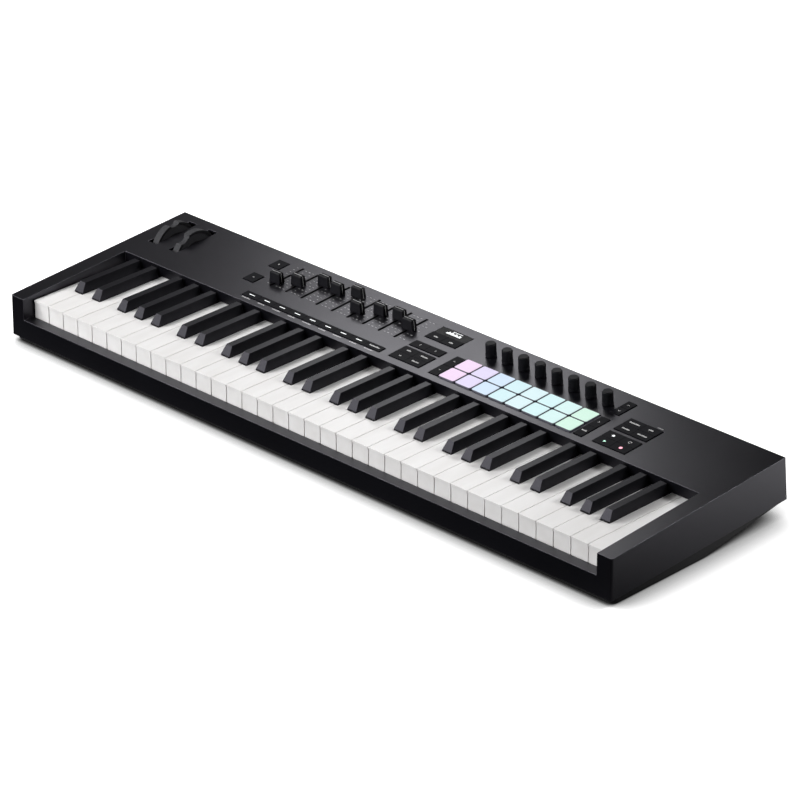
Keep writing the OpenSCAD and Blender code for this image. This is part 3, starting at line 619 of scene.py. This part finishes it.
def middle(b):
    return (b[0][0] + b[1][0]) / 2, (b[0][1] + b[1][1]) / 2


def caps(node):
    """The caps of a node as (cx, cu, lift), from left to right, the front one of a column first."""
    return [(*middle(b), b[1][2]) for b in islands(node)]


def front_first(caps_of_node):
    """Rows from the front, each from left to right."""
    return sorted(caps_of_node, key=lambda c: (round(c[1], 3), c[0]))


LINE_HALF = 0.35 * MM           # half the width of a fader cap's line
LINE_SKIN = 0.05 * MM           # how far it stands out
CAP_SHOULDER = 1.0 * MM         # how far below its top a cap's slope begins
BLOCK_FACES = ((0, 1, 2, 3), (7, 6, 5, 4), (0, 4, 5, 1), (1, 5, 6, 2), (2, 6, 7, 3), (3, 7, 4, 0))


def fader_line(node):
    """The pale raised line over a fader cap: along its top and down both ends."""
    co = corners(node)
    top = co[:, 2].max()
    cap = co[co[:, 2] > 0.2 * MM]
    low = cap[:, 2].min()
    x = (cap[:, 0].min() + cap[:, 0].max()) / 2
    u = (cap[:, 1].min() + cap[:, 1].max()) / 2
    shoulder = cap[(cap[:, 2] > top - 1.2 * MM) & (cap[:, 2] < top - 0.8 * MM)]
    at_low, at_top = cap[:, 0].max() - x, shoulder[:, 0].max() - x
    made = bmesh.new()

    def block(points):
        verts = [made.verts.new(on_panel(*p)) for p in points]
        for face in BLOCK_FACES:
            made.faces.new([verts[k] for k in face])

    inner = at_top - CAP_SHOULDER
    block([(x + sx * inner, u + su * LINE_HALF, lift)
           for lift in (top - LINE_SKIN, top + LINE_SKIN) for sx, su in RING])
    for side in (-1, 1):
        block([(x + side * (reach + s * LINE_SKIN), u + su * LINE_HALF, lift)
               for reach, lift in ((at_low, low), (at_top, top - CAP_SHOULDER)) for s, su in RING])
    piece = new_piece(node + "_line", made, INK_GREY)
    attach(piece, node)


for k in range(1, 10):
    fader_line("fader_%d" % k)

ARROW = 2.6 * MM


def words(keys, sizes, shift=0.0):
    """A caption on each of the keys; sizes are (width, height) in millimetres."""
    out = []
    for (x, u, _), (w, h) in zip(keys, sizes):
        out += caption(x, u + shift, w * MM, h * MM)
    return out


# The strip of buttons before the faders: a lit dash on each, a word on the last
DASH = (8.2 * MM, 1.05 * MM)
strip = caps("fader_buttons")
lift = strip[0][2]
cap_print("strip_dashes", [rect(x, u, *DASH) for x, u, _ in strip[:-1]], lift,
          "fader_buttons", LIT_WHITE)
cap_print("strip_caption", words(strip[-1:], [(13, 1.6)]), lift, "fader_buttons", INK_WHITE)

# Octave buttons: a plus behind, a minus in front
STROKE_LONG, STROKE_WIDE = 2.4 * MM, 0.6 * MM
down, up = sorted(caps("octave_buttons"), key=lambda c: c[1])
shapes = [rect(x, u, STROKE_LONG, STROKE_WIDE) for x, u, _ in (down, up)]
shapes += [rect(up[0], up[1] + side * 0.75 * MM, STROKE_WIDE, 0.9 * MM) for side in (1, -1)]
cap_print("octave_marks", shapes, down[2], "octave_buttons", INK_WHITE)

# The blocks in the middle, from the front: four modes, two page keys, two soft keys
centre = front_first(caps("centre_buttons"))
mode, page, soft = centre[:4], centre[4:6], centre[6:8]
shapes = words(mode, ((2.6, 1.4), (8.6, 1.5), (5.0, 1.5), (8.6, 1.5)))
shapes += words(soft, ((5.0, 1.5), (5.0, 1.5)), shift=-1 * MM)
for (x, u, _), turn in zip(page, (LEFT, RIGHT)):
    shapes += chevron(x, u, ARROW, turn)
cap_print("centre_marks", shapes, centre[0][2], "centre_buttons", INK_WHITE)

# Beside the pads: two scene keys on their left, two launch keys and two bank keys on their right
SAME_COLUMN = 2 * MM
sides = caps("pad_side_buttons")
left_x = min(round(c[0], 3) for c in sides)
scene_keys = sorted([c for c in sides if abs(c[0] - left_x) < SAME_COLUMN], key=lambda c: c[1])
right_keys = sorted([c for c in sides if abs(c[0] - left_x) >= SAME_COLUMN], key=lambda c: c[1])
launch, bank = right_keys[:2], right_keys[2:]
shapes = []
for (x, u, _), turn in zip(scene_keys, (FRONT, BACK)):
    shapes += chevron(x, u, ARROW, turn)
shapes += words(launch[:1], [(5.6, 1.4)])
shapes += chevron(launch[1][0], launch[1][1], ARROW, RIGHT)
for (x, u, _), turn in zip(bank, (FRONT, BACK)):
    shapes += chevron(x, u, 3 * MM, turn)
cap_print("side_marks", shapes, sides[0][2], "pad_side_buttons", INK_WHITE)

# Edit and transport blocks on the right
right = front_first(caps("transport_buttons"))
(play, record, stop, loop), edit = right[:4], right[4:8]
lift = right[0][2]
LOOP_R = 1.7 * MM
shapes = arc(loop[0], loop[1], LOOP_R, 0.5 * MM, 30, 320)
shapes += [triangle(loop[0] + 1.5 * MM, loop[1] + 0.9 * MM, 1.0 * MM, 30)]
for name, marks, ink in (
        ("edit_marks", words(edit, ((9.0, 1.5), (11.0, 1.5), (12.0, 1.5), (5.4, 1.5))), INK_WHITE),
        ("stop_mark", [disc(stop[0], stop[1], 1.7 * MM)], LIT_WHITE),
        ("play_mark", [triangle(play[0], play[1], 2.1 * MM)], LIT_GREEN),
        ("record_mark", [disc(record[0], record[1], 2.0 * MM)], LIT_RED),
        ("loop_mark", shapes, INK_WHITE)):
    cap_print(name, marks, lift, "transport_buttons", ink)

# Print on the panel: fader scales, captions before the strip, small labels
SCALE_ROWS, SCALE_PITCH = 9, 5.8 * MM
TICK, TICK_OUT = (2.4 * MM, 0.55 * MM), 6.6 * MM
BETWEEN_TICK = (2.6 * MM, 1.0 * MM)
tracks = [middle(b) for b in islands("fader_tracks")]
pitch = tracks[1][0] - tracks[0][0]
shapes = []
for x, u in tracks:
    for k in range(SCALE_ROWS):
        mark_u = u + (k - SCALE_ROWS // 2) * SCALE_PITCH
        for side in (-1, 1):
            shapes.append(rect(x + side * TICK_OUT, mark_u, *TICK))
        if k % 2 == 0:
            shapes.append(rect(x + pitch / 2, mark_u, *BETWEEN_TICK))
panel_print("fader_scales", shapes, INK_GREY)
# Dark strips beside the slots: painted shade on the slots' sloping edges, which makes the slots read as wide as in
# the photograph
SLOT_LENGTH = 52.4 * MM
shapes = [rect(x + side * 1.75 * MM, u, 0.5 * MM, SLOT_LENGTH)
          for x, u in tracks for side in (-1, 1)]
panel_print("slot_rims_painted_shade", shapes, SLOT_SHADE_BLACK)
shapes = []
for k, (x, u, _) in enumerate(strip):
    shapes += caption(x - 2 * MM, u - 7.6 * MM, (11 - 2 * (k % 2)) * MM, 1.3 * MM)
panel_print("strip_captions", shapes, INK_PALE)
LABEL = 1.1 * MM
shapes = caption((up[0] + down[0]) / 2 + 13 * MM, (up[1] + down[1]) / 2, 6 * MM, LABEL)
shapes += caption(edit[3][0] + 4 * MM, edit[3][1] + 10.4 * MM, 7 * MM, LABEL)
panel_print("small_labels", shapes, INK_GREY)

# The picture on the screen: a row of level bars below a thin line
LEVELS = (0.55, 0.9, 0.7, 1.0, 0.8, 0.6, 0.95, 0.75, 0.5, 0.85, 0.65)
BAR_PITCH, FULL_BAR, BAR_FOOT = 1.9, 5.6, -2.4      # millimetres
top = max(b[1][2] for b in islands("display_module"))
face = [v for v in corners("display_module") if v[2] > top - 0.3 * MM]
cx, cu = middle((np.min(face, axis=0), np.max(face, axis=0)))
shapes = [rect(cx + (k - 5) * BAR_PITCH * MM, cu + (level * FULL_BAR / 2 + BAR_FOOT) * MM,
               1.4 * MM, level * FULL_BAR * MM) for k, level in enumerate(LEVELS)]
shapes.append(rect(cx + 2 * MM, cu + 4.6 * MM, 14 * MM, 0.8 * MM))
plates("screen_picture", shapes, top, "case", LIT_WHITE, thick=0.01)

# ---------------------------------------------------------------- stage, light, camera
FLOOR_Z = CAD_BOX[0][2]
FLOOR_HALF = 40
CONTACT_REACH = 0.050           # how far from the part its contact shadow reaches
CONTACT_SPAN = (0.15, 0.84)     # the occlusion that is fully dark, and fully open
CONTACT_CURVE = 1.6
FLOOR_GLOW = 0.78
STRIP_REACH = (-0.10, 0.22)     # the y over which the strip beside the case brightens
STRIP_GLOW = (0.05, 0.42)


def grey(level):
    return (level, level, level)


def floor_material():
    """A plain pale floor. It is not physical: the camera sees it bright, with a contact shadow
    from ambient occlusion, and what mirrors in the dark case is a dimmer floor, least dim behind
    the instrument. Both were set by comparison with the photograph."""
    made, tree, bsdf = material("floor")
    near = tree.nodes.new("ShaderNodeAmbientOcclusion")
    near.samples = 24
    near.inputs["Distance"].default_value = CONTACT_REACH
    open_sky = calc(tree, "POWER", spread(tree, near.outputs["AO"], *CONTACT_SPAN, 0.0, 1.0),
                    CONTACT_CURVE)
    tree.links.new(two_tone(tree, open_sky, grey(0.02), grey(0.85), span=(0.0, 1.0)),
                   bsdf.inputs["Base Color"])
    bsdf.inputs["Emission Color"].default_value = (1, 1, 1, 1)
    tree.links.new(calc(tree, "MULTIPLY", open_sky, FLOOR_GLOW), bsdf.inputs["Emission Strength"])
    bsdf.inputs["Roughness"].default_value = 0.9
    bsdf.inputs["Specular IOR Level"].default_value = 0.1
    dim = tree.nodes.new("ShaderNodeBsdfDiffuse")
    spot = axes(tree, place(tree))
    back = spread(tree, spot["Y"], CAD_BOX[0][1] - 0.05, CAD_BOX[1][1] + 0.1, 0.0, 1.0)
    tree.links.new(two_tone(tree, back, (0.02, 0.02, 0.022), grey(1.0), span=(0.0, 1.0)),
                   dim.inputs["Color"])
    # The right side mirrors a bright strip of floor that grows brighter towards the back
    glow = tree.nodes.new("ShaderNodeEmission")
    beside = spread(tree, spot["X"], CAD_BOX[1][0] - 0.10, CAD_BOX[1][0], 0.0, 1.0)
    along = spread(tree, spot["Y"], *STRIP_REACH, *STRIP_GLOW)
    tree.links.new(calc(tree, "MULTIPLY", beside, along), glow.inputs["Strength"])
    both = tree.nodes.new("ShaderNodeAddShader")
    tree.links.new(dim.outputs["BSDF"], both.inputs[0])
    tree.links.new(glow.outputs["Emission"], both.inputs[1])
    path = tree.nodes.new("ShaderNodeLightPath")
    mix = tree.nodes.new("ShaderNodeMixShader")
    tree.links.new(path.outputs["Is Camera Ray"], mix.inputs["Fac"])
    tree.links.new(both.outputs["Shader"], mix.inputs[1])
    tree.links.new(bsdf.outputs["BSDF"], mix.inputs[2])
    tree.links.new(mix.outputs["Shader"], tree.nodes["Material Output"].inputs["Surface"])
    return made


mesh = bpy.data.meshes.new("floor")
spots = [(sx * FLOOR_HALF, sy * FLOOR_HALF, FLOOR_Z) for sx, sy in RING]
mesh.from_pydata(spots, [], [(0, 1, 2, 3)])
floor = bpy.data.objects.new("floor", mesh)
bpy.context.scene.collection.objects.link(floor)
mesh.materials.append(floor_material())

world = bpy.data.worlds.new("studio")
world.use_nodes = True
bpy.context.scene.world = world
background = world.node_tree.nodes["Background"]
background.inputs["Color"].default_value = (1, 1, 1, 1)
background.inputs["Strength"].default_value = 0.02


def aim(thing, direction):
    """Turns a lamp or a camera to look along a direction."""
    thing.rotation_euler = direction.to_track_quat("-Z", "Y").to_euler()
    bpy.context.scene.collection.objects.link(thing)


def softbox(name, at, towards, width, height, power):
    light = bpy.data.lights.new(name, "AREA")
    light.shape = "RECTANGLE"
    light.size, light.size_y = width, height
    light.energy = power
    lamp = bpy.data.objects.new(name, light)
    lamp.location = at
    aim(lamp, Vector(towards) - Vector(at))


# Where each light is, what it faces, its width, height and power: set by comparison with the photo
for light in (
        ("key", (-0.6, -2.35, 1.0), (-0.2, 0, 0.05), 1.4, 0.9, 35),
        ("left_fill", (-1.9, -2.1, 1.2), (0, -0.07, 0.05), 1.5, 1.2, 23),
        ("rim", (-1.35, -0.95, 1.42), (-0.1, 0.0, 0.06), 0.9, 0.9, 28),
        ("back_sheen", (-0.65, 0.71, 0.76), (0.06, 0.05, 0.06), 0.40, 0.45, 2.65),
        ("left_sheen", (-1.12, 0.62, 0.74), (-0.3, 0.0, 0.06), 0.35, 0.35, 0.10),
        ("edge_light", (1.28, 1.22, 1.24), (0.44, 0.0, 0.06), 0.45, 0.45, 18)):
    softbox(*light)

# The camera's place and lens, solved from the photograph
CAMERA_AT = (2.98061, -3.05445, 2.13397)
AZIMUTH, ELEVATION = math.radians(44.07), math.radians(26.25)
camera_data = bpy.data.cameras.new("camera")
camera_data.sensor_width = 36
camera_data.lens = 200.9
camera_data.clip_end = 100
camera = bpy.data.objects.new("camera", camera_data)
camera.location = CAMERA_AT
level = math.cos(ELEVATION)
aim(camera, Vector((-math.sin(AZIMUTH) * level, math.cos(AZIMUTH) * level, -math.sin(ELEVATION))))
bpy.context.scene.camera = camera
bpy.context.scene.view_settings.view_transform = "Standard"
